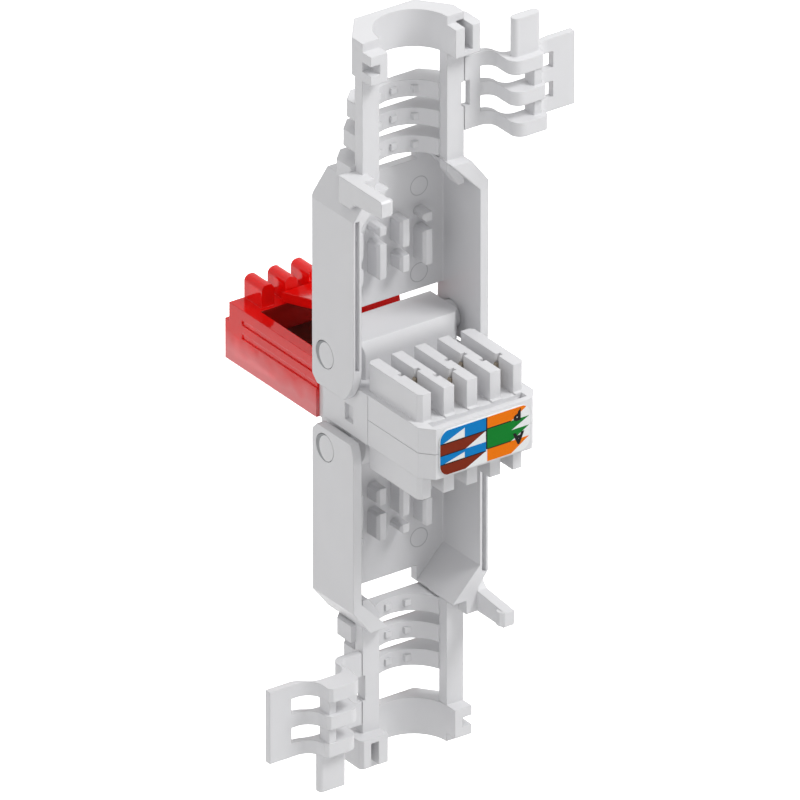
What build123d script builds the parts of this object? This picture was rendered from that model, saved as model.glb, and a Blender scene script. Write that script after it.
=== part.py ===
"""A tool-less network plug, standing open.

A clear red plug nose with its latch lever is joined to a light grey centre frame.
Behind the frame stands the block of cutting contacts that the wires are pressed into.
Two equal covers turn on stub pins of the frame, one upwards and one downwards.
Each ends in a ribbed neck and a collar for the cable, and carries a folding cable saddle.

Lengths are in millimetres. While the pieces are drawn, the hinge line of the covers lies
at Y = 0, the nose points to +Y, and the middle plane of the covers lies at Z = 0.
"Depth" is measured from the hinge line towards the cable side, so Y = -depth.
At the end everything moves so that the origin is the centre of the nose face.
"""
import math
import os

from build123d import *

# Plug nose
plug_width = 11.68
plug_bottom = 3.15
plug_top = 2.4
plug_rear = 2.9
nose_reach = 16.35
side_rim = 1.15
nose_length = 3.6
nose_step = 0.6
nose_lip = 0.65
cavity_floor = 1.1
fin_width = 1.3
fin_pitch = 2.42
fin_count = 4
fin_top = 4.5
fin_length = 2.6
fin_round = 0.55
fin_sunk = 0.4
groove_drops = (1.2, 2.5)
groove_length = 11.0
groove_half = 0.25
groove_depth = 0.12

# Latch lever
lever_half_rear = 3.3
lever_half_root = 2.3
lever_thickness = 0.9
lever_inset = 3.5
lever_root_z = 2.55
lever_tail_gap = 0.3
lever_tail_z = 5.15
lever_waist_end = 0.45
lever_flare_end = 0.7
lever_tail_round = 0.4

# Contacts in the nose
blade_pitch = 1.02
blade_count = 8
blade_thickness = 0.35
blade_slot = 0.5
blade_slot_top = -1.1
blade_tail = 1.6
blade_end_gap = 0.3
blade_inset = 0.7
blade_floor = 0.35
blade_top_gap = 0.1
blade_slope = 0.6
blade_corner = 0.5
blade_heel = 0.8

# Circuit board
board_width = 9.2
board_thickness = 0.8
board_inset = 4.3
board_cable_end = 12.0
board_clearance = 0.1

# Hinges of the covers
hinge_height = 4.45
pin_radius = 1.25
pin_clearance = 0.05
frame_clearance = 0.1

# Housing of a cover
cover_width = 14.0
cover_wall = 0.85
cover_back = 2.05
parting_gap = 0.25
plain_ear_edge = 1.3
short_ear_edge = 2.6
ear_corner = 0.9
shoulder_height = 18.7
housing_end = 21.0
cavity_shoulder = 18.0
mouth_half = 3.3
back_corner = 0.3
neck_window_half = 3.4
neck_window_low = 19.5
neck_window_front = 0.6
rim_groove = 0.42
rim_groove_inset = 0.2
rim_groove_depth = 0.5
least_corner = 0.15

# Wire pushers inside a cover
pusher_width = 1.1
pusher_bevel = 0.25
pusher_front = 0.35
wire_pitch = 2.4
pusher_low = 10.0
pusher_high = 15.0
pusher_gap_centres = (12.0, 13.75)
pusher_gap = 0.8

# Neck and collar of a cover
neck_half = 5.25
neck_back = 1.2
neck_wall = 0.85
channel_half = 3.5
rail_front = 3.05
rail_thickness = 1.1
rail_foot = 18.4
rail_root = 20.85
rail_foot_height = 1.6
rail_foot_width = 0.6
rib_height = 1.6
rib_start = 21.15
rib_pitch = 2.65
rib_halves = (5.75, 5.05, 4.7)
rib_corner = 1.2
grip_size = 0.6
grip_height = 0.2
grip_xs = (-1.5, 0.3, 2.1)
collar_start = 31.2
collar_end = 34.7
collar_flat = 3.1
collar_chamfer = 2.7
clasp_front = 4.3
clasp_wall = 1.1
clasp_flange = 0.9
clasp_drop = 0.8
clasp_sunk = 0.5
slot_inner = 4.45
slot_width = 0.8
slot_low = 31.65
slot_high = 34.0
slot_rib_half = 6.3
slot_rib_start = 1.35
slot_rib_bevel = 0.3
collar_lap = 0.3

# Latch bar of a cover
bar_inner = 5.9
bar_width = 1.0
bar_height = 1.8
bar_top = 22.3
bar_reach = 4.0
bar_hook = 0.35
bar_hook_root = 1.1
bar_hook_slope = 0.3
bar_bracket_drop = 0.7
bar_bracket_reach = 0.6
bar_bracket_sunk = 0.5
bar_bracket_step = 0.1
bar_tip_rise = 0.3
bar_bevel = 0.2

# Folding cable saddle
saddle_gap = 0.1
saddle_sheet = 0.65
saddle_plate = 1.7
saddle_low = 23.4
saddle_strip = 1.3
saddle_gap_between = 1.5
saddle_strips = 3
crown_start = 3.75
crown_end = 6.1
crown_front = 3.3
crown_taper = 0.3
crown_thickness = 2.1
leg_round = 1.6
crown_bevel = 0.3
crown_edge = 0.5
leg_shift = 0.2
crown_beam_start = 1.1
crown_beam_end = 0.35
end_plate_start = 8.3
end_plate_end = 10.55
end_plate_front = 1.3
hinge_hole_half = 1.2
hinge_hole_in = 0.25
hinge_hole_out = 0.6
peg_start = 3.45
peg_end = 6.2
peg_back = 1.6
peg_front = 2.54
peg_top = 33.9
peg_round = 0.4

# Centre frame
frame_round = 2.6
frame_top = 5.85
frame_cable_end = 4.9
frame_neck = 2.4
barrel_half = 5.5
barrel_chamfer = 0.9
neck_start = 1.6
frame_pocket_depth = 2.2
frame_pocket_z = 0.5
frame_pocket_size = (0.8, 1.2, 1.6)
pin_root = 1.0

# Contact block
block_end = 13.4
block_chamfer_x = 1.02
block_chamfer_depth = 1.17
block_clearance = 0.05
comb_half = 5.45
comb_start = 4.0
comb_end = 11.65
comb_top = 5.0
comb_slot = 1.3
comb_slot_floor = 2.3
tooth_chamfer = 0.35
block_recess_depth = 0.5
block_recess_edge = 0.6
block_recess_gap = 0.35
seam_gap = 0.04

# Cutting contacts of the block
fork_thickness = 0.4
fork_half = 1.05
fork_slit = 0.3
fork_top = 4.3
fork_clearance = 0.03
fork_shoulder = 0.3
fork_throat = 0.6
fork_bridge = 0.9
fork_mouth = 0.55

# Wiring label
label_width = 9.3
label_height = 4.3
label_thickness = 0.2
label_corner = 0.9

# How far a cutting form runs past the face that it cuts, and a form into the one it joins
past = 1.0
lap = 0.1

rim_depth = hinge_height - parting_gap
window_edge = hinge_height + frame_round
lever_root_y = nose_reach - lever_inset
lever_tail_y = plug_rear + lever_tail_gap
board_nose_end = nose_reach - board_inset
blade_rear = board_nose_end - blade_tail
fork_rows = [centre - hinge_height for centre in pusher_gap_centres]
frame_half = cover_width / 2 - cover_wall - frame_clearance
block_half_width = frame_half - block_clearance
back_inner = -(cover_back - cover_wall)
channel_bottom = -(neck_back - neck_wall)
blade_xs = [(i - (blade_count - 1) / 2) * blade_pitch for i in range(blade_count)]
wire_xs = [(i - 1.5) * wire_pitch for i in range(4)]
board_half = board_thickness / 2
saddle_high = (
    saddle_low + saddle_strips * saddle_strip + (saddle_strips - 1) * saddle_gap_between
)
saddle_middle = (saddle_low + saddle_high) / 2


def slab(x_low, x_high, depth_low, depth_high, z_low, z_high):
    """Box between two X values, two depths and two heights."""
    centre = Pos((x_low + x_high) / 2, -(depth_low + depth_high) / 2, (z_low + z_high) / 2)
    return centre * Box(abs(x_high - x_low), abs(depth_high - depth_low), abs(z_high - z_low))


def front_profile(points, depth_low, depth_high):
    """Outline of (x, z) points, extruded between two depths."""
    face = make_face(Polyline(*points, close=True))
    return extrude(Plane.XZ.offset(depth_low) * face, depth_high - depth_low)


def plan_profile(points, z_low, z_high):
    """Outline of (x, depth) points, extruded between two heights."""
    face = make_face(Polyline(*[(x, -depth) for x, depth in points], close=True))
    return extrude(Plane.XY.offset(z_low) * face, z_high - z_low)


def side_profile(face, x_low, x_high):
    """Face drawn in (y, z), extruded between two X values."""
    return extrude(Plane.YZ.offset(x_low) * face, x_high - x_low)


def trough(half_width, bottom, open_depth):
    """U-shaped plan face with a round bottom, open towards the cable side."""
    centre = bottom + half_width
    outline = Curve() + [
        Line((-half_width, -open_depth), (-half_width, -centre)),
        ThreePointArc((-half_width, -centre), (0, -bottom), (half_width, -centre)),
        Line((half_width, -centre), (half_width, -open_depth)),
        Line((half_width, -open_depth), (-half_width, -open_depth)),
    ]
    return make_face(outline)


def housing_blank(inset, low, back, front):
    """Housing form: its front outline and its rounded back corners, made smaller by inset."""
    half = cover_width / 2 - inset
    tip = mouth_half if inset else neck_half
    shoulder = cavity_shoulder if inset else shoulder_height
    outline = [
        (-half, low), (-half, shoulder), (-tip, housing_end),
        (tip, housing_end), (half, shoulder), (half, low),
    ]
    form = front_profile(outline, back, front)
    radius = max(back_corner - inset, least_corner)
    plan = Pos(0, -(back + front + 2 * radius) / 2) * RectangleRounded(
        2 * half, front - back + 2 * radius, radius
    )
    return form & extrude(plan, housing_end + past)


def ear_outline(edge):
    """Side view of a cover: the ears' front corner is an arc about the hinge."""
    drop = hinge_height - edge
    start = math.sqrt(rim_depth**2 - drop**2)
    middle = math.asin(drop / rim_depth) / 2
    top = collar_end + past
    heel = cover_back - ear_corner
    return make_face(
        Curve()
        + [
            Line((-rim_depth, top), (-rim_depth, hinge_height)),
            ThreePointArc(
                (-rim_depth, hinge_height),
                (-rim_depth * math.cos(middle), hinge_height - rim_depth * math.sin(middle)),
                (-start, edge),
            ),
            Line((-start, edge), (heel, edge)),
            Line((heel, edge), (cover_back, edge + ear_corner)),
            Line((cover_back, edge + ear_corner), (cover_back, top)),
            Line((cover_back, top), (-rim_depth, top)),
        ]
    )


def housing():
    """Open tray with ears, windows, cable funnel, rim groove and pin holes."""
    low = plain_ear_edge - past
    inner_half = cover_width / 2 - cover_wall
    shell = housing_blank(0, low, -cover_back, rim_depth)
    shell -= housing_blank(cover_wall, low, back_inner, rim_depth + past)
    sides = side_profile(ear_outline(plain_ear_edge), -cover_width, 0)
    sides += side_profile(ear_outline(short_ear_edge), 0, cover_width)
    shell &= sides
    shell -= slab(-inner_half, inner_half, -cover_back - past, 0, low, window_edge)
    groove = -cover_width / 2 + rim_groove_inset
    shell -= slab(
        groove, groove + rim_groove, rim_depth - rim_groove_depth, rim_depth + past,
        hinge_height, shoulder_height,
    )
    for side in (-1, 1):
        hole = Cylinder(pin_radius + pin_clearance, 4 * cover_wall, rotation=(0, 90, 0))
        shell -= Pos(side * cover_width / 2, 0, hinge_height) * hole
    return shell


def pushers():
    """Four split posts that press the wires down, staggered so that the gaps alternate."""
    posts = []
    root = back_inner - lap
    for number, x in enumerate(wire_xs):
        gap_low = pusher_gap_centres[number % 2] - pusher_gap / 2
        for z_low, z_high in ((pusher_low, gap_low), (gap_low + pusher_gap, pusher_high)):
            post = slab(x - pusher_width / 2, x + pusher_width / 2, root, pusher_front, z_low, z_high)
            corners = post.edges().filter_by(Axis.Y) + post.edges().filter_by(Axis.Z).sort_by(Axis.Y)[:2]
            posts.append(chamfer(corners, pusher_bevel))
    return posts


def rails():
    """The two rails that carry the ribs; the right one has a tapered foot inside the housing."""
    back = rail_front - rail_thickness
    top = collar_start + 2 * lap
    left = slab(-neck_half, -channel_half, back, rail_front, rail_root, top)
    outline = [
        (channel_half, rail_foot + rail_foot_height), (neck_half - rail_foot_width, rail_foot),
        (neck_half, rail_foot), (neck_half, top), (channel_half, top),
    ]
    return [left, front_profile(outline, back, rail_front)]


def rib(number):
    """One half ring round the back of the cable channel, wider towards the housing."""
    half = rib_halves[number]
    low = rib_start + number * rib_pitch
    reach = rail_front - rail_thickness + lap
    corner = rib_corner
    outline = [
        (-half, reach), (-half, corner - neck_back), (corner - half, -neck_back),
        (half - corner, -neck_back), (half, corner - neck_back), (half, reach),
    ]
    ring = plan_profile(outline, low, low + rib_height)
    channel = trough(channel_half, channel_bottom, reach + past)
    ring -= extrude(Plane.XY.offset(low) * channel, rib_height)
    middle = low + rib_height / 2
    grip = grip_size / 2
    for x in grip_xs:
        lift = channel_half - math.sqrt(channel_half**2 - x**2)
        depth = channel_bottom + lift
        ring += slab(
            x - grip, x + grip, depth - grip_height, depth + grip_height, middle - grip, middle + grip
        )
    return ring


def collar():
    """Half collar for the cable: a clasp wall on the left, a slotted rib on the right."""
    front = rail_front
    outline = [
        (-neck_half, front), (-neck_half, collar_chamfer - neck_back), (-collar_flat, -neck_back),
        (collar_flat, -neck_back), (neck_half, collar_chamfer - neck_back), (neck_half, front),
    ]
    body = plan_profile(outline, collar_start, collar_end)
    low = collar_start
    high = collar_end - clasp_drop
    inner = channel_half - collar_lap
    root = front - clasp_sunk
    clasp = slab(-inner - clasp_wall, -inner, root, clasp_front, low, high)
    for z_low in (low, high - clasp_flange):
        clasp += slab(-neck_half, -inner, root, clasp_front, z_low, z_low + clasp_flange)
    bevel = slot_rib_bevel
    rib_outline = [
        (inner, slot_rib_start), (slot_rib_half - bevel, slot_rib_start),
        (slot_rib_half, slot_rib_start + 2 * bevel), (slot_rib_half, clasp_front - bevel),
        (slot_rib_half - bevel, clasp_front), (inner, clasp_front),
    ]
    ribbed = plan_profile(rib_outline, low, high)
    body += [clasp, ribbed]
    body -= slab(
        slot_inner, slot_inner + slot_width, slot_rib_start, clasp_front + past, slot_low, slot_high
    )
    channel = trough(channel_half, channel_bottom, clasp_front + past)
    body -= extrude(Plane.XY.offset(low - past) * channel, collar_end - low + 2 * past)
    return body


def latch_bar():
    """Hooked bar on the left shoulder that reaches over the other cover."""
    low = bar_top - bar_height
    tip = rim_depth + bar_reach
    root = rail_front - rail_thickness
    foot = low - bar_bracket_drop
    points = [
        (-root, foot), (bar_bracket_reach - rim_depth, foot), (-rim_depth, low - bar_bracket_step),
        (-tip, low + bar_tip_rise), (-tip, bar_top - bar_bevel),
        (-tip + bar_bevel, bar_top), (-root, bar_top),
    ]
    face = make_face(Polyline(*points, close=True))
    bar = side_profile(face, -bar_inner - bar_width, -bar_inner)
    slope = bar_hook_slope
    hook = [
        (-bar_inner, tip - bar_hook_root), (-bar_inner + bar_hook, tip - bar_hook_root + slope),
        (-bar_inner + bar_hook, tip - slope), (-bar_inner, tip),
    ]
    bar += plan_profile(hook, low + bar_tip_rise, bar_top - bar_bevel)
    bar += slab(-bar_inner - lap, -neck_half + bar_bracket_sunk, root, rim_depth, foot, bar_top)
    return bar


def upper_cover():
    """One moulded cover in its open place above the frame."""
    body = housing()
    body += pushers()
    body += rails()
    body += [rib(number) for number in range(len(rib_halves))]
    body += [collar(), latch_bar()]
    body -= slab(
        -neck_window_half, neck_window_half, -cover_back - past, neck_window_front,
        neck_window_low, rib_start,
    )
    body -= slab(
        neck_half - hinge_hole_in, neck_half + past,
        rail_front - rail_thickness - past, rail_front + past,
        saddle_middle - hinge_hole_half, saddle_middle + hinge_hole_half,
    )
    return body


def s_curve(start, end):
    """Two equal arcs that leave and arrive along X, with an upright line where it is steep."""
    run = abs(end[0] - start[0])
    rise = abs(end[1] - start[1])
    middle = ((start[0] + end[0]) / 2, (start[1] + end[1]) / 2)
    ahead = math.copysign(1, end[0] - start[0])
    up = math.copysign(max(rise - run, 0) / 2, end[1] - start[1])
    low = (middle[0], middle[1] - up)
    high = (middle[0], middle[1] + up)
    arcs = [
        TangentArc(start, low, tangent=(ahead, 0)),
        TangentArc(end, high, tangent=(-ahead, 0)),
    ]
    if up:
        arcs.append(Line(low, high))
    return arcs


def saddle_outline(front):
    """Plan face of one strip of the saddle: hinge tab, S-shaped leg, crown, leg and end plate."""

    def at(along, rise):
        return (neck_half + along, -(rail_front + rise))

    crown_back = front - crown_thickness
    plate_back = end_plate_front - saddle_sheet
    leg_end = end_plate_start - lap
    back_start = crown_start + leg_shift
    back_end = crown_end - crown_edge
    back_root = saddle_plate + leg_shift
    bevel = crown_bevel
    foot = end_plate_front + leg_round
    outline = Curve() + [
        Line(at(saddle_gap, 0), at(saddle_plate, 0)),
        *s_curve(at(saddle_plate, 0), at(crown_start, front)),
        Line(at(crown_start, front), at(crown_end - bevel, front)),
        Line(at(crown_end - bevel, front), at(crown_end, front - bevel)),
        Line(at(crown_end, front - bevel), at(crown_end, foot)),
        TangentArc(at(crown_end, foot), at(crown_end + leg_round, end_plate_front), tangent=(0, 1)),
        Line(at(crown_end + leg_round, end_plate_front), at(end_plate_end, end_plate_front)),
        Line(at(end_plate_end, end_plate_front), at(end_plate_end, plate_back)),
        Line(at(end_plate_end, plate_back), at(leg_end, plate_back)),
        *s_curve(at(leg_end, plate_back), at(back_end, crown_back)),
        Line(at(back_end, crown_back), at(back_start, crown_back)),
        *s_curve(at(back_start, crown_back), at(back_root, -saddle_sheet)),
        Line(at(back_root, -saddle_sheet), at(saddle_gap, -saddle_sheet)),
        Line(at(saddle_gap, -saddle_sheet), at(saddle_gap, 0)),
    ]
    return make_face(outline)


def upper_saddle():
    """Folding saddle on the right rail: three bent strips between two upright plates."""
    base = rail_front
    left = neck_half
    body = slab(
        left + saddle_gap, left + saddle_plate, base - saddle_sheet, base, saddle_low, saddle_high
    )
    pitch = saddle_strip + saddle_gap_between
    for number in range(saddle_strips):
        rise = crown_front + crown_taper * (saddle_strips - 1 - number)
        low = saddle_low + number * pitch
        body += extrude(Plane.XY.offset(low) * saddle_outline(rise), saddle_strip)
    crown_back = crown_front - crown_thickness + crown_taper * (saddle_strips - 1)
    body += slab(
        left + crown_end - crown_beam_start, left + crown_end - crown_beam_end,
        base + crown_back, base + crown_front - lap, saddle_low, saddle_high,
    )
    body += slab(
        left + end_plate_start, left + end_plate_end, base + end_plate_front - saddle_sheet,
        base + end_plate_front, saddle_low, saddle_high,
    )
    body -= slab(
        left, left + hinge_hole_out, base - saddle_sheet - past, base + past,
        saddle_middle - hinge_hole_half, saddle_middle + hinge_hole_half,
    )
    size = (peg_end - peg_start, peg_front - peg_back)
    centre = Pos(left + peg_start + size[0] / 2, -(base + peg_back + size[1] / 2))
    root = saddle_high - saddle_strip / 2
    peg = extrude(Plane.XY.offset(root) * centre * RectangleRounded(*size, peg_round), peg_top - root)
    return body + peg


def centre_frame():
    """Moulded frame: two barrels about the hinge lines with a neck and four pins."""
    lobes = Sketch()
    for side in (-1, 1):
        lobe = Pos(0, side * hinge_height) * Circle(frame_round)
        lobes += lobe & Rectangle(4 * frame_round, 2 * frame_top)
    lobes += Rectangle(2 * frame_round, 2 * hinge_height)
    cut = barrel_half - barrel_chamfer
    slope = frame_round - barrel_chamfer
    beyond = frame_round + past
    plan = [
        (-barrel_half, -beyond), (-barrel_half, slope), (-cut, frame_round), (-cut, beyond),
        (cut, beyond), (cut, frame_round), (barrel_half, slope), (barrel_half, -beyond),
    ]
    body = side_profile(lobes, -barrel_half, barrel_half)
    body &= plan_profile(plan, -2 * frame_top, 2 * frame_top)
    body += slab(-frame_half, frame_half, -neck_start, frame_cable_end, -frame_neck, frame_neck)
    body += slab(-barrel_half, barrel_half, -plug_rear, 0, -plug_bottom, plug_top)
    pin_length = cover_width / 2 - barrel_half + pin_root
    for z_side in (-1, 1):
        for x_side in (-1, 1):
            pin = Cylinder(pin_radius, pin_length, rotation=(0, 90, 0))
            body += Pos(x_side * (cover_width - pin_length) / 2, 0, z_side * hinge_height) * pin
    pocket_x = board_width / 2 + board_clearance
    body -= slab(
        -pocket_x, pocket_x, -plug_rear - past, frame_cable_end + past,
        -board_half - board_clearance, board_half + board_clearance,
    )
    for x_side in (-1, 1):
        place = Pos(x_side * frame_half, -frame_pocket_depth, x_side * frame_pocket_z)
        body -= place * Box(*frame_pocket_size)
    return body


def plug_body():
    """Clear plug: a tray with side rims, a solid nose with contact slots and four fins."""
    half = plug_width / 2
    low = -plug_bottom
    nose_start = nose_reach - nose_length
    step = nose_reach - nose_step
    outline = [
        (plug_rear, low), (nose_reach, low), (nose_reach, nose_lip), (step, nose_lip),
        (step, plug_top), (plug_rear, plug_top),
    ]
    body = side_profile(make_face(Polyline(*outline, close=True)), -half, half)
    body -= slab(
        -half + side_rim, half - side_rim, -plug_rear + past, -nose_start,
        low + cavity_floor, plug_top + past,
    )
    for x in blade_xs:
        body -= slab(
            x - blade_slot / 2, x + blade_slot / 2, -nose_reach - past, blade_end_gap - blade_rear,
            low - past, blade_slot_top,
        )
    for side in (-1, 1):
        for drop in groove_drops:
            centre = Pos(plug_rear + groove_length / 2, plug_top - drop)
            groove = centre * Rectangle(groove_length, 2 * groove_half)
            body -= side_profile(groove, side * (half - groove_depth), side * (half + groove_depth))
    room = board_width / 2 + board_clearance
    body -= slab(
        -room, room, -board_nose_end - board_clearance, -plug_rear + past,
        -board_half - board_clearance, board_half + board_clearance,
    )
    for number in range(fin_count):
        x = (number - (fin_count - 1) / 2) * fin_pitch
        height = fin_top - plug_top + fin_sunk
        face = Pos(x, fin_top - height / 2) * RectangleRounded(fin_width, height, fin_round)
        body += extrude(Plane.XZ.offset(-step) * face, fin_length)
    return body


def latch_lever():
    """Sprung lever that rises from the nose towards the frame and widens to its tail."""
    angle = math.degrees(math.atan2(lever_tail_z - lever_root_z, lever_root_y - lever_tail_y))
    length = math.hypot(lever_tail_z - lever_root_z, lever_root_y - lever_tail_y)
    waist = lever_waist_end * length
    flare = lever_flare_end * length
    outline = [
        (-lever_half_root, 0), (-lever_half_root, waist), (-lever_half_rear, flare),
        (-lever_half_rear, length), (lever_half_rear, length), (lever_half_rear, flare),
        (lever_half_root, waist), (lever_half_root, 0),
    ]
    face = make_face(Polyline(*outline, close=True))
    lever = extrude(face, lever_thickness)
    tail_corners = lever.edges().filter_by(Axis.Z).sort_by(Axis.Y)[-2:]
    lever = fillet(tail_corners, lever_tail_round)
    turned = Rot(-angle, 0, 0) * Rot(0, 0, 180) * lever
    return Pos(0, lever_root_y, lever_root_z) * turned


def contact_blade(x):
    """Gold plated blade under the board, reaching down into its slot of the nose."""
    top = -board_half
    rear = blade_rear
    front = nose_reach - blade_inset
    low = -plug_bottom + blade_floor
    crest = blade_slot_top - blade_top_gap
    points = [
        (rear, top), (board_nose_end, top), (board_nose_end, crest),
        (front - blade_slope, crest), (front, crest - blade_slope), (front, low + blade_corner),
        (front - blade_corner, low), (rear + blade_heel, low), (rear, low + blade_heel),
    ]
    face = make_face(Polyline(*points, close=True))
    return side_profile(face, x - blade_thickness / 2, x + blade_thickness / 2)


def circuit_board():
    """Board that carries the nose contacts at one end and the cutting contacts at the other."""
    half = board_width / 2
    return slab(-half, half, -board_nose_end, board_cable_end, -board_half, board_half)


def fork_depth(number):
    """Cutting contacts stand in two staggered rows."""
    return fork_rows[number % 2]


def cutting_contact(x, depth):
    """Forked sheet contact standing on the board, with a slit that cuts into the wire."""
    low = board_half
    slit = fork_slit / 2
    mouth = fork_half * fork_mouth
    shoulder = fork_top - fork_shoulder
    throat = fork_top - fork_throat
    bridge = low + fork_bridge
    points = [
        (x - fork_half, low), (x + fork_half, low), (x + fork_half, shoulder),
        (x + mouth, fork_top), (x + slit, throat), (x + slit, bridge),
        (x - slit, bridge), (x - slit, throat), (x - mouth, fork_top),
        (x - fork_half, shoulder),
    ]
    return front_profile(points, depth - fork_thickness / 2, depth + fork_thickness / 2)


def block_half():
    """Upper half of the contact block: a chamfered base with a five-tooth comb on top."""
    half = block_half_width
    tip = half - block_chamfer_x
    base = plan_profile(
        [
            (-half, frame_cable_end), (-half, block_end - block_chamfer_depth), (-tip, block_end),
            (tip, block_end), (half, block_end - block_chamfer_depth), (half, frame_cable_end),
        ],
        seam_gap / 2,
        frame_neck,
    )
    comb = slab(-comb_half, comb_half, comb_start, comb_end, frame_neck, comb_top)
    comb = chamfer(comb.edges().filter_by(Axis.Z), tooth_chamfer)
    recess_half = comb_half - block_recess_edge
    base -= slab(
        -recess_half, recess_half, comb_end + block_recess_gap, block_end - block_recess_edge,
        frame_neck - block_recess_depth, frame_neck + past,
    )
    body = base + comb
    for x in wire_xs:
        body -= slab(
            x - comb_slot / 2, x + comb_slot / 2, comb_start - past, comb_end + past,
            comb_slot_floor, comb_top + past,
        )
    board_room = board_half + board_clearance
    pocket = board_width / 2 + board_clearance
    board_end = board_cable_end + board_clearance
    body -= slab(-pocket, pocket, comb_start - past, board_end, -past, board_room)
    for number, x in enumerate(wire_xs):
        depth = fork_depth(number)
        room_x = fork_half + fork_clearance
        room_depth = fork_thickness / 2 + fork_clearance
        body -= slab(
            x - room_x, x + room_x, depth - room_depth, depth + room_depth, 0, comb_top + past
        )
    return body


def wiring_label():
    """Thin plate on the end of the block, over both halves."""
    face = RectangleRounded(label_width, label_height, label_corner)
    return extrude(Plane.XZ.offset(block_end) * face, label_thickness)


turn_over = Rot(0, 180, 0)
nodes = {
    "plug_body": plug_body(),
    "latch_lever": latch_lever(),
    "circuit_board": circuit_board(),
    "centre_frame": centre_frame(),
    "upper_cover": upper_cover(),
    "upper_saddle": upper_saddle(),
    "idc_block_upper": block_half(),
    "wiring_label": wiring_label(),
}
nodes["lower_cover"] = turn_over * nodes["upper_cover"]
nodes["lower_saddle"] = turn_over * nodes["upper_saddle"]
nodes["idc_block_lower"] = turn_over * nodes["idc_block_upper"]
for number, x in enumerate(blade_xs):
    nodes[f"nose_contact_{number + 1}"] = contact_blade(x)
for number, x in enumerate(wire_xs):
    fork = cutting_contact(x, fork_depth(number))
    nodes[f"idc_contact_{number + 1}"] = fork
    nodes[f"idc_contact_{number + 5}"] = turn_over * fork

to_origin = Pos(0, -nose_reach, (plug_bottom - plug_top) / 2)
os.makedirs("parts", exist_ok=True)
for name, solid in nodes.items():
    export_step(to_origin * solid, f"parts/{name}.step")
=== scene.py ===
"""A tool-less network plug standing open, dressed for its picture.

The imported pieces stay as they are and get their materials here; the wiring label is built anew.
Everything is in metres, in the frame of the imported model: the nose points to +Y, the covers
stand up and down along Z, and the cable side is towards -Y.
"""
import math

import bpy
import numpy as np
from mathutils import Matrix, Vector


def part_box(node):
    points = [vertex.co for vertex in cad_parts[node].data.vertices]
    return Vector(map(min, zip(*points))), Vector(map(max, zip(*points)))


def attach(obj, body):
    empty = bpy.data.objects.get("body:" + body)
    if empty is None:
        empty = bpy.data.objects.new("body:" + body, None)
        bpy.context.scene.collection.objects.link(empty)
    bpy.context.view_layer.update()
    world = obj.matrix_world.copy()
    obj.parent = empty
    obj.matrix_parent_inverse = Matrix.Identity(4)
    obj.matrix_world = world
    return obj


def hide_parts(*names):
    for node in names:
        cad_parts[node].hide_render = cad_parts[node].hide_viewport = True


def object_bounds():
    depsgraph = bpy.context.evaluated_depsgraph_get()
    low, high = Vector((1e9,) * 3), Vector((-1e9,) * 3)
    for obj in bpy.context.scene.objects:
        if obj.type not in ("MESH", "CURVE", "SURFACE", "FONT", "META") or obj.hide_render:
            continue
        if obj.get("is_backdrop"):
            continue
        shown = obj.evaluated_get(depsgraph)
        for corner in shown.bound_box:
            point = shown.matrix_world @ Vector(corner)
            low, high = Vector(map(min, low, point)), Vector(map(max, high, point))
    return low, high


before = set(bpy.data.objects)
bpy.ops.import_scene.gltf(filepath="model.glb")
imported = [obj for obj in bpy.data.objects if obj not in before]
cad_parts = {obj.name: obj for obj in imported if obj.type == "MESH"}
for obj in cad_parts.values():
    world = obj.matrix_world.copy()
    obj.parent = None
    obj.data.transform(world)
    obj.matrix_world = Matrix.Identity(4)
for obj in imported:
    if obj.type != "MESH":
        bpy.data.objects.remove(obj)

cad_low, cad_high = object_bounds()

# Camera, looking down from the cable side past the left edge of the covers. The long lens
# keeps the plug's parallel edges parallel, as they are in a product picture.
mm = 0.001
view_turn = -35.3
view_rise = 27.8
view_width = 67.8 * mm
view_centre = Vector((0.0, -17.48 * mm, -1.165 * mm))
sensor = 36.0
lens = 1300.0
camera_distance = view_width * lens / sensor


def aimed_at_plug(name, data, turn, rise, distance):
    """Camera or lamp on a sphere about the centre of the view, looking at that centre. With the
    two angles in degrees it stands off by (sin turn cos rise, -cos turn cos rise, sin rise)."""
    turn, rise = math.radians(turn), math.radians(rise)
    away = Vector((
        math.sin(turn) * math.cos(rise),
        -math.cos(turn) * math.cos(rise),
        math.sin(rise),
    ))
    aimed = bpy.data.objects.new(name, data)
    aimed.location = view_centre + away * distance
    aimed.rotation_mode = "QUATERNION"
    aimed.rotation_quaternion = (-away).to_track_quat("-Z", "Y")
    bpy.context.scene.collection.objects.link(aimed)
    return aimed


camera_data = bpy.data.cameras.new("camera")
camera_data.lens = lens
camera_data.sensor_width = sensor
camera_data.clip_start = camera_distance * 0.1
camera_data.clip_end = camera_distance * 10
camera = aimed_at_plug("camera", camera_data, view_turn, view_rise, camera_distance)
bpy.context.scene.camera = camera
bpy.context.scene.view_settings.view_transform = "Standard"

# Studio: a pale floor below the object, a pale world and three large soft lamps. Floor and world
# are paler to the camera and to glossy and clear surfaces than to the light, so that the ground
# shows white and the object isn't washed out.
floor_drop = 14 * mm
floor_half = 4.0
floor_level = cad_low.z - floor_drop
floor_seen = (1.7, 1.7, 1.7)
floor_lit = (0.7, 0.7, 0.7)
world_seen = (1.0, 1.0, 1.0)
world_lit = (0.50, 0.50, 0.50)


def math_node(tree, operation, first, second):
    """Result of one sum or comparison; first is an output, second an output or a number."""
    node = tree.nodes.new("ShaderNodeMath")
    node.operation = operation
    tree.links.new(first, node.inputs[0])
    if isinstance(second, float):
        node.inputs[1].default_value = second
    else:
        tree.links.new(second, node.inputs[1])
    return node.outputs[0]


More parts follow.
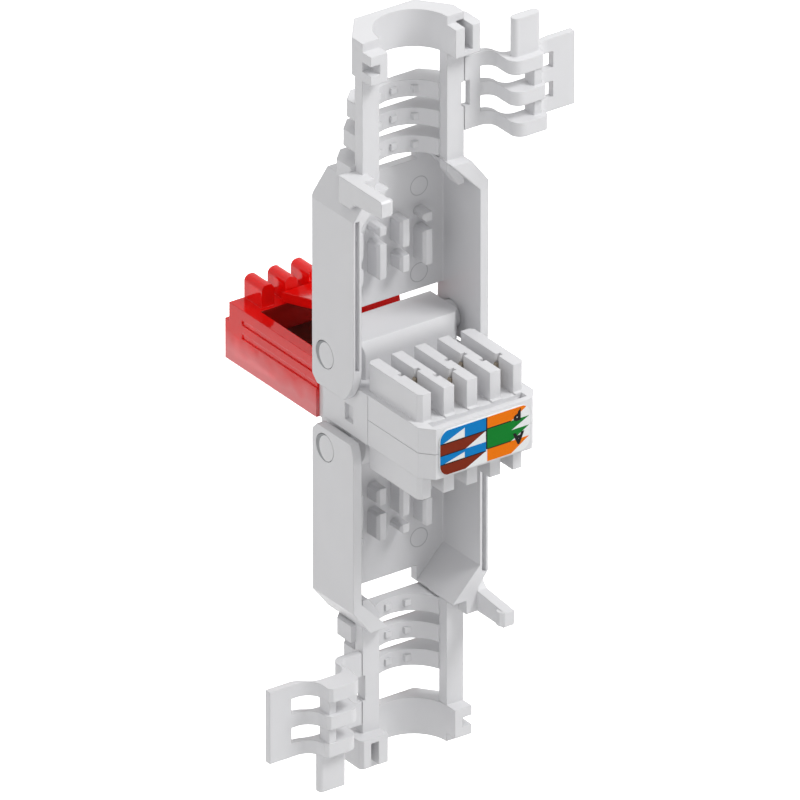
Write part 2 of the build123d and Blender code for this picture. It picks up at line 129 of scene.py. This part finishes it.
def blend_colours(tree, factor, first, second):
    """Mix of two colours by a factor output: first at 0, second at 1. A colour is three numbers
    or an output."""
    mix = tree.nodes.new("ShaderNodeMix")
    mix.data_type = "RGBA"
    for socket, colour in (("A", first), ("B", second)):
        if isinstance(colour, tuple):
            mix.inputs[socket].default_value = (*colour, 1)
        else:
            tree.links.new(colour, mix.inputs[socket])
    tree.links.new(factor, mix.inputs["Factor"])
    return mix.outputs["Result"]


def seen_or_lit(tree, seen, lit):
    """Colour output that is seen by camera, glossy and transmission rays, and lit by the others."""
    rays = tree.nodes.new("ShaderNodeLightPath").outputs
    seen_ray = math_node(tree, "MAXIMUM", rays["Is Camera Ray"], rays["Is Glossy Ray"])
    seen_ray = math_node(tree, "MAXIMUM", seen_ray, rays["Is Transmission Ray"])
    return blend_colours(tree, seen_ray, lit, seen)


def soft_lamp(name, turn, rise, distance, size, power):
    """Square area lamp that looks at the plug; its two angles are measured as the camera's are."""
    data = bpy.data.lights.new(name, "AREA")
    data.size = size
    data.energy = power
    aimed_at_plug(name, data, turn, rise, distance)


floor_mesh = bpy.data.meshes.new("floor")
floor_mesh.from_pydata(
    [(x * floor_half, y * floor_half, floor_level) for x, y in ((-1, -1), (1, -1), (1, 1), (-1, 1))],
    [],
    [(0, 1, 2, 3)],
)
floor = bpy.data.objects.new("floor", floor_mesh)
bpy.context.scene.collection.objects.link(floor)
floor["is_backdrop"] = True

floor_finish = bpy.data.materials.new("pale_floor")
floor_finish.use_nodes = True
floor_tree = floor_finish.node_tree
floor_shader = floor_tree.nodes["Principled BSDF"]
floor_shader.inputs["Roughness"].default_value = 0.9
floor_shader.inputs["Specular IOR Level"].default_value = 0.1
floor_colour = seen_or_lit(floor_tree, floor_seen, floor_lit)
floor_tree.links.new(floor_colour, floor_shader.inputs["Base Color"])
floor_mesh.materials.append(floor_finish)

world = bpy.data.worlds.new("studio")
bpy.context.scene.world = world
world.use_nodes = True
world_tree = world.node_tree
background = world_tree.nodes["Background"]
background.inputs["Strength"].default_value = 1.0
world_tree.links.new(seen_or_lit(world_tree, world_seen, world_lit), background.inputs["Color"])

soft_lamp("key", turn=40, rise=50, distance=0.45, size=0.16, power=1.24)
soft_lamp("left_fill", turn=-80, rise=30, distance=0.50, size=0.30, power=0.40)
soft_lamp("top", turn=150, rise=75, distance=0.50, size=0.30, power=0.26)

# Light grey moulded plastic of the frame, block, covers and saddles. The mould surface is
# spark-eroded to a fine satin grain, and the flow of the plastic leaves a very faint mottle.
grey = (0.72, 0.72, 0.735)
mottle_size = 3 * mm
sheen_size = 1.2 * mm
grain_size = 0.07 * mm
grain_depth = 0.0012 * mm
moulded_edge = 0.12 * mm


def finish(name):
    """New material with its tree, shader and Object coordinates."""
    material = bpy.data.materials.new(name)
    material.use_nodes = True
    tree = material.node_tree
    coordinates = tree.nodes.new("ShaderNodeTexCoord").outputs["Object"]
    return material, tree, tree.nodes["Principled BSDF"], coordinates


def add(tree, kind, **values):
    """New shader node with its sockets set by name; an underscore stands for a space."""
    node = tree.nodes.new(kind)
    for name, value in values.items():
        node.inputs[name.replace("_", " ")].default_value = value
    return node


def noise(tree, coordinates, size, detail=2.0):
    """Noise from 0 to 1 with features of that size in metres."""
    node = add(tree, "ShaderNodeTexNoise", Scale=1.0 / size, Detail=detail)
    tree.links.new(coordinates, node.inputs["Vector"])
    return node.outputs["Fac"]


def spread(tree, value, low, high, start=0.0, end=1.0):
    """Goes evenly from low to high while the value output goes from start to end."""
    node = add(tree, "ShaderNodeMapRange", From_Min=start, From_Max=end, To_Min=low, To_Max=high)
    tree.links.new(value, node.inputs["Value"])
    return node.outputs["Result"]


def mottled(tree, patches, colour, darkest):
    """Colour that falls to its darkest share as the patches output goes from 0 to 1."""
    shade = tuple(part * darkest for part in colour)
    return blend_colours(tree, patches, colour, shade)


def soft_edges(tree, shader, radius, grain, depth):
    """Rounds the shaded edges by radius and raises the grain output to that depth."""
    edge = add(tree, "ShaderNodeBevel", Radius=radius)
    edge.samples = 6
    bump = add(tree, "ShaderNodeBump", Strength=1.0, Distance=depth)
    tree.links.new(grain, bump.inputs["Height"])
    tree.links.new(edge.outputs["Normal"], bump.inputs["Normal"])
    tree.links.new(bump.outputs["Normal"], shader.inputs["Normal"])


def split_axes(tree, vector):
    """X, Y and Z outputs of a vector output."""
    node = tree.nodes.new("ShaderNodeSeparateXYZ")
    tree.links.new(vector, node.inputs[0])
    return node.outputs


def dress(material, names):
    """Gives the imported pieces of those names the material."""
    for name in names:
        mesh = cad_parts[name].data
        mesh.materials.clear()
        mesh.materials.append(material)


grey_plastic, grey_tree, grey_shader, grey_where = finish("grey_plastic")
plain_grey = mottled(grey_tree, noise(grey_tree, grey_where, mottle_size), grey, darkest=0.96)
grey_sheen = spread(grey_tree, noise(grey_tree, grey_where, sheen_size), 0.36, 0.52)
grey_grain = noise(grey_tree, grey_where, grain_size, 3.0)
grey_tree.links.new(grey_sheen, grey_shader.inputs["Roughness"])
grey_shader.inputs["IOR"].default_value = 1.5
soft_edges(grey_tree, grey_shader, moulded_edge, grey_grain, grain_depth)
dress(grey_plastic, [
    "centre_frame", "idc_block_upper", "idc_block_lower",
    "upper_cover", "lower_cover", "upper_saddle", "lower_saddle",
])

# Painted shade on the grey pieces, alike on both sides and both covers: faint dark rings painted
# where the mould's ejector pins leave shallow marks on the inner floor of the covers, and a dark
# crescent painted on the end of each hinge pin as the shade of its slanted lead-in, over which the
# ears of the covers snap.
painted_shade_grey = (0.25, 0.26, 0.27)
ring_shade_share = 0.45
middle_plane = 0.375 * mm
ejector_across = 3.62 * mm
ejector_heights = (8.6 * mm, 16.85 * mm)
ejector_radius = 0.93 * mm
ejector_edge = 0.10 * mm
floor_front = 14.9 * mm
pin_along = 16.35 * mm
pin_height = 4.45 * mm
pin_radius = 1.25 * mm
pin_slant = 0.42 * mm
pin_inner = 6.5 * mm


def vector_node(tree, operation, first, second=(0.0, 0.0, 0.0)):
    """Node of one vector operation on an output and a fixed vector."""
    node = tree.nodes.new("ShaderNodeVectorMath")
    node.operation = operation
    tree.links.new(first, node.inputs[0])
    node.inputs[1].default_value = second
    return node


def in_rod(tree, where, keep, centre, radius):
    """1 inside a round rod along one axis, 0 outside: keep is 0 on the rod's own axis, else 1."""
    flat = vector_node(tree, "MULTIPLY", where, keep).outputs["Vector"]
    away = vector_node(tree, "DISTANCE", flat, centre).outputs["Value"]
    return math_node(tree, "LESS_THAN", away, radius)


def painted_mark_shade(tree, where):
    """How strongly the painted shade shows. Places lose their signs, counted from the middle planes,
    so that
    both sides and both covers are alike. The painted shade of a lead-in lies on the outer end of a
    pin:
    a round, less the same round moved towards the cable. A painted ring is a disc less a smaller
    disc, past floor_front."""
    centred = vector_node(tree, "SUBTRACT", where, (0, 0, middle_plane)).outputs["Vector"]
    mirrored = vector_node(tree, "ABSOLUTE", centred).outputs["Vector"]
    place = split_axes(tree, mirrored)
    pin_end = in_rod(tree, mirrored, (0, 1, 1), (0, pin_along, pin_height), pin_radius)
    pin_flat = in_rod(tree, mirrored, (0, 1, 1), (0, pin_along + pin_slant, pin_height), pin_radius)
    lead_in_shade = math_node(tree, "SUBTRACT", pin_end, pin_flat)
    outside = math_node(tree, "GREATER_THAN", place["X"], pin_inner)
    mark_shade = math_node(tree, "MULTIPLY", outside, lead_in_shade)
    on_floor = math_node(tree, "GREATER_THAN", place["Y"], floor_front)
    for ejector_height in ejector_heights:
        centre = (ejector_across, 0, ejector_height)
        disc = in_rod(tree, mirrored, (1, 0, 1), centre, ejector_radius)
        inside = in_rod(tree, mirrored, (1, 0, 1), centre, ejector_radius - ejector_edge)
        painted_ring = math_node(tree, "SUBTRACT", disc, inside)
        painted_ring = math_node(tree, "MULTIPLY", painted_ring, on_floor)
        painted_ring = math_node(tree, "MULTIPLY", painted_ring, ring_shade_share)
        mark_shade = math_node(tree, "MAXIMUM", mark_shade, painted_ring)
    return mark_shade


# Painted shade: the grey darkens towards a dark grey on the rings and on the pin-end crescents.
grey_with_painted_shade = blend_colours(grey_tree, painted_mark_shade(grey_tree, grey_where), plain_grey, painted_shade_grey)
grey_tree.links.new(grey_with_painted_shade, grey_shader.inputs["Base Color"])

# Clear red plug and its latch lever, moulded in polycarbonate with polished walls. Light goes through
# the thin lower walls, which look pink, and the thick upper parts look deep red: the pink is painted
# light, a lighter colour painted on the lower parts by height. The tray, with the board below it,
# looks darker still, as painted shade.
painted_light_pink = (1.0, 0.23, 0.24)
deep_red = (1.0, 0.008, 0.006)
painted_tray_shade = (0.32, 0.014, 0.010)
pink_up_to = -0.9 * mm
red_from = 0.9 * mm
swirl_size = 1.8 * mm
swirl_height = 1.8 * mm
tray_half = 4.72 * mm
tray_floor = -2.0 * mm
tray_rim = 2.74 * mm
tray_front = -3.5 * mm
polish_size = 1.5 * mm
wave_size = 0.8 * mm
wave_depth = 0.006 * mm
polished_edge = 0.10 * mm

clear_red, red_tree, red_shader, red_where = finish("clear_red")
red_place = split_axes(red_tree, red_where)
swirl = noise(red_tree, red_where, swirl_size, 1.0)
swirl_rise = math_node(red_tree, "MULTIPLY", swirl, swirl_height)
swirled_height = math_node(red_tree, "ADD", red_place["Z"], swirl_rise)
# Painted light: the walls go from a painted lighter pink low down to deep red higher up, by height
# with a swirl.
painted_light_fade = spread(red_tree, swirled_height, 0.0, 1.0, pink_up_to, red_from)
wall_red = blend_colours(red_tree, painted_light_fade, painted_light_pink, deep_red)
side = math_node(red_tree, "ABSOLUTE", red_place["X"], 0.0)
painted_shade_in_tray = math_node(red_tree, "LESS_THAN", side, tray_half)
for operation, axis, limit in (
    ("GREATER_THAN", "Z", tray_floor), ("LESS_THAN", "Z", tray_rim), ("LESS_THAN", "Y", tray_front),
):
    in_limit = math_node(red_tree, operation, red_place[axis], limit)
    painted_shade_in_tray = math_node(red_tree, "MULTIPLY", painted_shade_in_tray, in_limit)
# Painted shade: inside the tray the red is painted a darker red.
red_colour = blend_colours(red_tree, painted_shade_in_tray, wall_red, painted_tray_shade)
red_polish = spread(red_tree, noise(red_tree, red_where, polish_size), 0.05, 0.14)
red_tree.links.new(red_colour, red_shader.inputs["Base Color"])
red_tree.links.new(red_polish, red_shader.inputs["Roughness"])
red_shader.inputs["Transmission Weight"].default_value = 0.25
red_shader.inputs["Specular IOR Level"].default_value = 0.3
red_shader.inputs["IOR"].default_value = 1.45
soft_edges(red_tree, red_shader, polished_edge, noise(red_tree, red_where, wave_size), wave_depth)
dress(clear_red, ["plug_body", "latch_lever"])

# Circuit board of glass epoxy under a dark brown mask, held between the nose and the contact
# block. The mask lies unevenly over the copper and the weave of the glass.
mask_dark = (0.035, 0.008, 0.006)
mask_light = (0.11, 0.016, 0.010)
mask_patch = 0.6 * mm
weave_size = 0.1 * mm
weave_depth = 0.002 * mm
board_edge = 0.03 * mm

board_brown, board_tree, board_shader, board_where = finish("board_brown")
board_patches = noise(board_tree, board_where, mask_patch)
board_colour = blend_colours(board_tree, board_patches, mask_dark, mask_light)
board_weave = noise(board_tree, board_where, weave_size)
board_tree.links.new(board_colour, board_shader.inputs["Base Color"])
board_shader.inputs["Roughness"].default_value = 0.35
soft_edges(board_tree, board_shader, board_edge, board_weave, weave_depth)
dress(board_brown, ["circuit_board"])

# Contacts stamped from thin bronze sheet and pressed into their slots: eight blades in the nose,
# plated with gold, and eight forks in the slots of the comb, plated with tin. Rolling the sheet
# leaves fine streaks on it.
gold = (0.95, 0.66, 0.24)
tin = (0.42, 0.36, 0.28)
contact_numbers = range(1, 9)
streak_size = 0.05 * mm
streak_squeeze = (1.0, 1.0, 0.15)
streak_depth = 0.001 * mm
stamped_edge = 0.02 * mm


def plated(name, colour, smoothest, roughest):
    """Plated sheet metal. Its streaks are a noise whose Z is squeezed, so that they run along Z,
    and they make both its tone and its sheen uneven."""
    material, tree, shader, where = finish(name)
    squeezed = add(tree, "ShaderNodeMapping", Scale=streak_squeeze)
    tree.links.new(where, squeezed.inputs["Vector"])
    streaks = noise(tree, squeezed.outputs["Vector"], streak_size, 3.0)
    tree.links.new(mottled(tree, streaks, colour, darkest=0.85), shader.inputs["Base Color"])
    tree.links.new(spread(tree, streaks, smoothest, roughest), shader.inputs["Roughness"])
    shader.inputs["Metallic"].default_value = 1.0
    soft_edges(tree, shader, stamped_edge, streaks, streak_depth)
    return material


gold_plate = plated("gold_plate", gold, 0.15, 0.3)
tinned_bronze = plated("tinned_bronze", tin, 0.25, 0.45)
dress(gold_plate, [f"nose_contact_{number}" for number in contact_numbers])
dress(tinned_bronze, [f"idc_contact_{number}" for number in contact_numbers])

# Wiring label: a white sticker on the end of the contact block, printed with the two common
# colour orders of the wires as bands with slanted ends, and the plain scheme letters A and B.
# First comes its sheet, with rounded corners. Widths are counted from its low X side.
label_low, label_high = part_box("wiring_label")
label_width = label_high.x - label_low.x
label_half = (label_high.z - label_low.z) / 2
label_middle = (label_high.z + label_low.z) / 2
label_corner = 1.0 * mm
sheet_front = label_low.y + 0.03 * mm
sheet_white = (0.86, 0.88, 0.88)
least_width = 0.01 * mm
speckle_size = 0.12 * mm
gloss_size = 0.9 * mm


def corner_inset(height):
    """How far the label's rounded corner draws its side edge in, at a height from its middle.
    It is the corner radius less the chord of its circle."""
    past = np.clip(np.abs(height) - (label_half - label_corner), 0, label_corner)
    return label_corner - np.sqrt(label_corner**2 - past**2)


def printed_field(low, high, left, right, back, front, rows=13):
    """Thin slab between two heights. Its left and right edges are straight lines, given by their
    places at the low and the high end, and are cut back where the label's corner is rounder."""
    t = np.linspace(0, 1, rows)
    height = low + (high - low) * t
    inset = corner_inset(height)
    edge_left = np.maximum(left[0] + (left[1] - left[0]) * t, inset)
    edge_right = np.minimum(right[0] + (right[1] - right[0]) * t, label_width - inset)
    edge_right = np.maximum(edge_right, edge_left + least_width)
    across = np.stack([edge_left, edge_right])
    points = np.zeros((2, 2, rows, 3))
    points[..., 0] = label_low.x + across[None]
    points[..., 1] = np.array([front, back])[:, None, None]
    points[..., 2] = label_middle + height
    index = np.arange(4 * rows).reshape(2, 2, rows)
    a, b = index[0, 0], index[0, 1]
    c, d = index[1, 0], index[1, 1]
    quads = np.concatenate([
        np.stack([a[:-1], b[:-1], b[1:], a[1:]], 1),
        np.stack([c[1:], d[1:], d[:-1], c[:-1]], 1),
        np.stack([a[1:], c[1:], c[:-1], a[:-1]], 1),
        np.stack([b[:-1], d[:-1], d[1:], b[1:]], 1),
        np.array([[a[0], c[0], d[0], b[0]], [a[-1], b[-1], d[-1], c[-1]]]),
    ])
    return points.reshape(-1, 3), quads


def joined(name, parts):
    """One mesh from several (points, faces) pairs, whose faces count on from the points before."""
    points, faces, start = [], [], 0
    for part_points, part_faces in parts:
        points.append(part_points)
        faces.extend((part_faces + start).tolist())
        start += len(part_points)
    mesh = bpy.data.meshes.new(name)
    mesh.from_pydata(np.concatenate(points).tolist(), [], faces)
    return mesh


def on_label(name, mesh, material):
    """Piece of the label, riding on the centre frame with the contact block."""
    mesh.materials.clear()
    mesh.materials.append(material)
    piece = bpy.data.objects.new(name, mesh)
    bpy.context.scene.collection.objects.link(piece)
    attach(piece, "frame")
    return piece


def ink(name, colour):
    """Printed ink, or the white film under it: a finely speckled tone with a dull, uneven gloss."""
    material, tree, shader, where = finish(name)
    tone = mottled(tree, noise(tree, where, speckle_size, 3.0), colour, darkest=0.86)
    gloss = spread(tree, noise(tree, where, gloss_size), 0.38, 0.5)
    tree.links.new(tone, shader.inputs["Base Color"])
    tree.links.new(gloss, shader.inputs["Roughness"])
    shader.inputs["Specular IOR Level"].default_value = 0.08
    return material


sheet_field = printed_field(
    -label_half, label_half, (0, 0), (label_width, label_width), label_high.y, sheet_front, rows=61
)
sheet = on_label("label_sheet", joined("label_sheet", [sheet_field]), ink("label_film", sheet_white))
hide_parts("wiring_label")

# The print of the label: bands of flat ink on the sheet. Heights are counted from its middle. The
# left part has blue and brown bands with slanted ends. The right part, past a black line, has
# four tips one above the other, each cut off at a slant.
print_front = label_low.y + 0.015 * mm
outline_front = print_front - 0.004 * mm
band_lines = [line * mm for line in (-2.10, -1.08, -0.20, 0.87, 2.10)]
tip_lines = [line * mm for line in (-2.10, -0.93, 0.10, 0.99, 2.10)]
split_left = 2.54 * mm
split_middle = 4.73 * mm
black_line = 0.14 * mm
tip_begin = split_middle + black_line
blue_low_end = 0.15 * mm
blue_square_end = 0.26 * mm
brown_low_end = 2.62 * mm
tip_low_end = 7.35 * mm
tip_reach = label_width - 0.12 * mm
outline = 0.065 * mm
outline_reach = 7.3 * mm
print_colours = {
    "ink_blue": (0.0, 0.205, 0.56),
    "ink_brown": (0.20, 0.018, 0.002),
    "ink_green": (0.0, 0.20, 0.02),
    "ink_orange": (0.88, 0.19, 0.0),
    "ink_black": (0.006, 0.006, 0.006),
}
tip_colours = ("ink_orange", "ink_green", "ink_green", "ink_orange")
fields = {name: [] for name in print_colours}


def field(colour, low, high, left, right):
    """Adds a coloured field of the print."""
    fields[colour].append(printed_field(low, high, left, right, sheet_front, print_front))


def outline_field(line, begin, end):
    """Adds the thin black outline between two fields, which reaches from half its width below
    their common line to its whole width above."""
    low, high = line - outline / 2, line + outline
    edges = printed_field(low, high, (begin, begin), (end, end), print_front, outline_front)
    fields["ink_black"].append(edges)


for number in (1, 3):
    low, high = band_lines[number], band_lines[number + 1]
    square_from = high - blue_square_end
    field("ink_blue", low, square_from, (0, 0), (blue_low_end, split_left))
    field("ink_blue", square_from, high, (0, 0), (split_left, split_left))
    field("ink_blue", low, high, (split_left, split_left), (split_middle, split_middle))
for number in (0, 2):
    low, high = band_lines[number], band_lines[number + 1]
    field("ink_brown", low, high, (0, 0), (brown_low_end, split_middle))
for number, colour in enumerate(tip_colours):
    low, high = tip_lines[number], tip_lines[number + 1]
    field(colour, low, high, (tip_begin, tip_begin), (tip_low_end, tip_reach))
field("ink_black", tip_lines[1], band_lines[4], (split_middle, split_middle), (tip_begin, tip_begin))
outline_field(band_lines[3], 0, split_middle)
outline_field(band_lines[2], 0, split_left)
outline_field(band_lines[1], 0, split_middle)
outline_field(tip_lines[1], tip_begin, outline_reach)
outline_field(tip_lines[3], tip_begin, outline_reach)
inks = {name: ink(name, colour) for name, colour in print_colours.items()}
for name, parts in fields.items():
    piece_name = name.replace("ink", "print")
    on_label(piece_name, joined(piece_name, parts), inks[name])

# The scheme letters of the two colour orders, printed in black. They stand upside down near the
# tips of the bands, because the sticker is put on that way round.
letter_height = 1.0 * mm
capital_share = 0.7
letter_swell = 0.075 * mm
letter_half_depth = 0.004 * mm
letter_front = label_low.y + 0.005 * mm
letter_places = {"B": (7.95 * mm, 1.45 * mm), "A": (8.10 * mm, -0.80 * mm)}
for letter, (along, up) in letter_places.items():
    piece_name = "letter_" + letter.lower()
    curve = bpy.data.curves.new(piece_name, "FONT")
    curve.body = letter
    curve.align_x = "CENTER"
    curve.align_y = "CENTER"
    curve.size = letter_height / capital_share
    curve.extrude = letter_half_depth
    curve.offset = letter_swell
    maker = bpy.data.objects.new("maker", curve)
    bpy.context.scene.collection.objects.link(maker)
    bpy.context.view_layer.update()
    mesh = bpy.data.meshes.new_from_object(maker.evaluated_get(bpy.context.evaluated_depsgraph_get()))
    bpy.data.objects.remove(maker)
    flat = np.zeros(len(mesh.vertices) * 3)
    mesh.vertices.foreach_get("co", flat)
    flat = flat.reshape(-1, 3)
    placed = np.empty_like(flat)
    placed[:, 0] = label_low.x + along - flat[:, 0]
    placed[:, 1] = letter_front - flat[:, 2]
    placed[:, 2] = label_middle + up - flat[:, 1]
    mesh.vertices.foreach_set("co", placed.ravel())
    mesh.update()
    on_label(piece_name, mesh, inks["ink_black"])

# Sizes of the imported model and of the dressed one
low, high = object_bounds()
